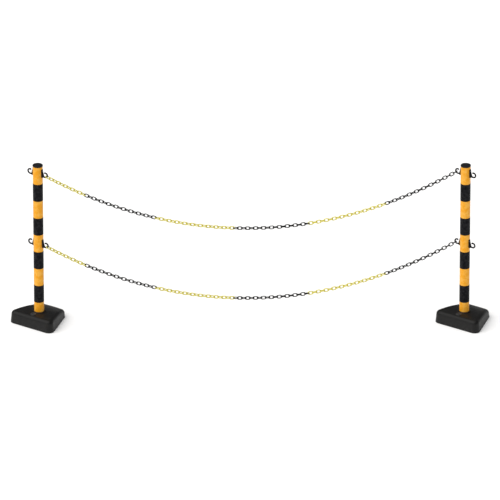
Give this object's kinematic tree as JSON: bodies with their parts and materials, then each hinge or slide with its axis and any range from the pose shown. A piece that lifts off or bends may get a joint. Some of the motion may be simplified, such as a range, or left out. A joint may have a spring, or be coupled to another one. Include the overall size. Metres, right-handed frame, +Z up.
{
  "type": "plastic chain stanchion",
  "caption": "Weighted yellow and black banded barrier posts with chain hooks, joined by hung plastic chains with alternating yellow and black runs.",
  "frame": {"origin": "on the floor, at the centre of the whole set's outline", "axes": "+X along the line of posts towards the right-hand post, +Y away from the front, +Z up"},
  "size_m": [2.8629, 0.327, 1.0386],
  "materials": {
    "base_plastic": "dark grey moulded polyethylene, fine grain",
    "plug_plastic": "dark grey moulded polyethylene",
    "pad_rubber": "plain rubber",
    "seal_rubber": "plain rubber",
    "ballast": "mineral ballast inside the base, not seen",
    "post_yellow": "smooth yellow PVC tube",
    "band_black": "smooth black sleeve",
    "cap_plastic": "black moulded plastic",
    "hook_plastic": "black moulded nylon",
    "screw_metal": "blackened steel",
    "chain_yellow": "moulded plastic link, lemon yellow",
    "chain_black": "moulded plastic link, black"
  },
  "bodies": {
    "bases": {"left_base_shell": "base_plastic", "left_base_plate": "base_plastic", "left_base_pads": "pad_rubber", "left_sand_fill": "ballast", "right_base_shell": "base_plastic", "right_base_plate": "base_plastic", "right_base_pads": "pad_rubber", "right_sand_fill": "ballast"},
    "left_post": {"left_post_tube": "post_yellow", "left_black_bands": "band_black", "left_upper_left_hook": "hook_plastic", "left_upper_right_hook": "hook_plastic", "left_lower_left_hook": "hook_plastic", "left_lower_right_hook": "hook_plastic", "left_hook_screws": "screw_metal"},
    "right_post": {"right_post_tube": "post_yellow", "right_black_bands": "band_black", "right_upper_left_hook": "hook_plastic", "right_upper_right_hook": "hook_plastic", "right_lower_left_hook": "hook_plastic", "right_lower_right_hook": "hook_plastic", "right_hook_screws": "screw_metal"},
    "left_cap": {"left_top_cap": "cap_plastic"},
    "right_cap": {"right_top_cap": "cap_plastic"},
    "left_plug": {"left_filler_plug": "plug_plastic", "left_plug_seal": "seal_rubber"},
    "right_plug": {"right_filler_plug": "plug_plastic", "right_plug_seal": "seal_rubber"},
    "upper_chain": {"upper_chain_run_1_yellow": "chain_yellow", "upper_chain_run_2_black": "chain_black", "upper_chain_run_3_yellow": "chain_yellow", "upper_chain_run_4_black": "chain_black", "upper_chain_run_5_yellow": "chain_yellow", "upper_chain_run_6_black": "chain_black"},
    "lower_chain": {"lower_chain_run_1_yellow": "chain_yellow", "lower_chain_run_2_black": "chain_black", "lower_chain_run_3_yellow": "chain_yellow", "lower_chain_run_4_black": "chain_black", "lower_chain_run_5_yellow": "chain_yellow", "lower_chain_run_6_black": "chain_black"}
  },
  "joints": [
    {"name": "left_post_lift", "type": "slide", "parent": "bases", "child": "left_post", "axis": [0, 0, 1], "range_m": [0, 0.075]},
    {"name": "left_cap_pull", "type": "slide", "parent": "left_post", "child": "left_cap", "axis": [0, 0, 1], "range_m": [0, 0.03]},
    {"name": "left_plug_pull", "type": "slide", "parent": "bases", "child": "left_plug", "axis": [0, 0, 1], "range_m": [0, 0.025]},
    {"name": "right_post_lift", "type": "slide", "parent": "bases", "child": "right_post", "axis": [0, 0, 1], "range_m": [0, 0.075]},
    {"name": "right_cap_pull", "type": "slide", "parent": "right_post", "child": "right_cap", "axis": [0, 0, 1], "range_m": [0, 0.03]},
    {"name": "right_plug_pull", "type": "slide", "parent": "bases", "child": "right_plug", "axis": [0, 0, 1], "range_m": [0, 0.025]},
    {"name": "upper_chain_swing", "type": "hinge", "parent": "left_post", "child": "upper_chain", "pos_m": [0.00907, -0.0062, 0.97477], "axis": [0.9995, 0.031, 0], "range_deg": [-20, 20]},
    {"name": "lower_chain_swing", "type": "hinge", "parent": "left_post", "child": "lower_chain", "pos_m": [0.00907, -0.0062, 0.51339], "axis": [0.9995, 0.031, 0], "range_deg": [-20, 20]}
  ],
  "couplings": [
    {"joint": "right_post_lift", "follows": "left_post_lift", "ratio": 1}
  ]
}
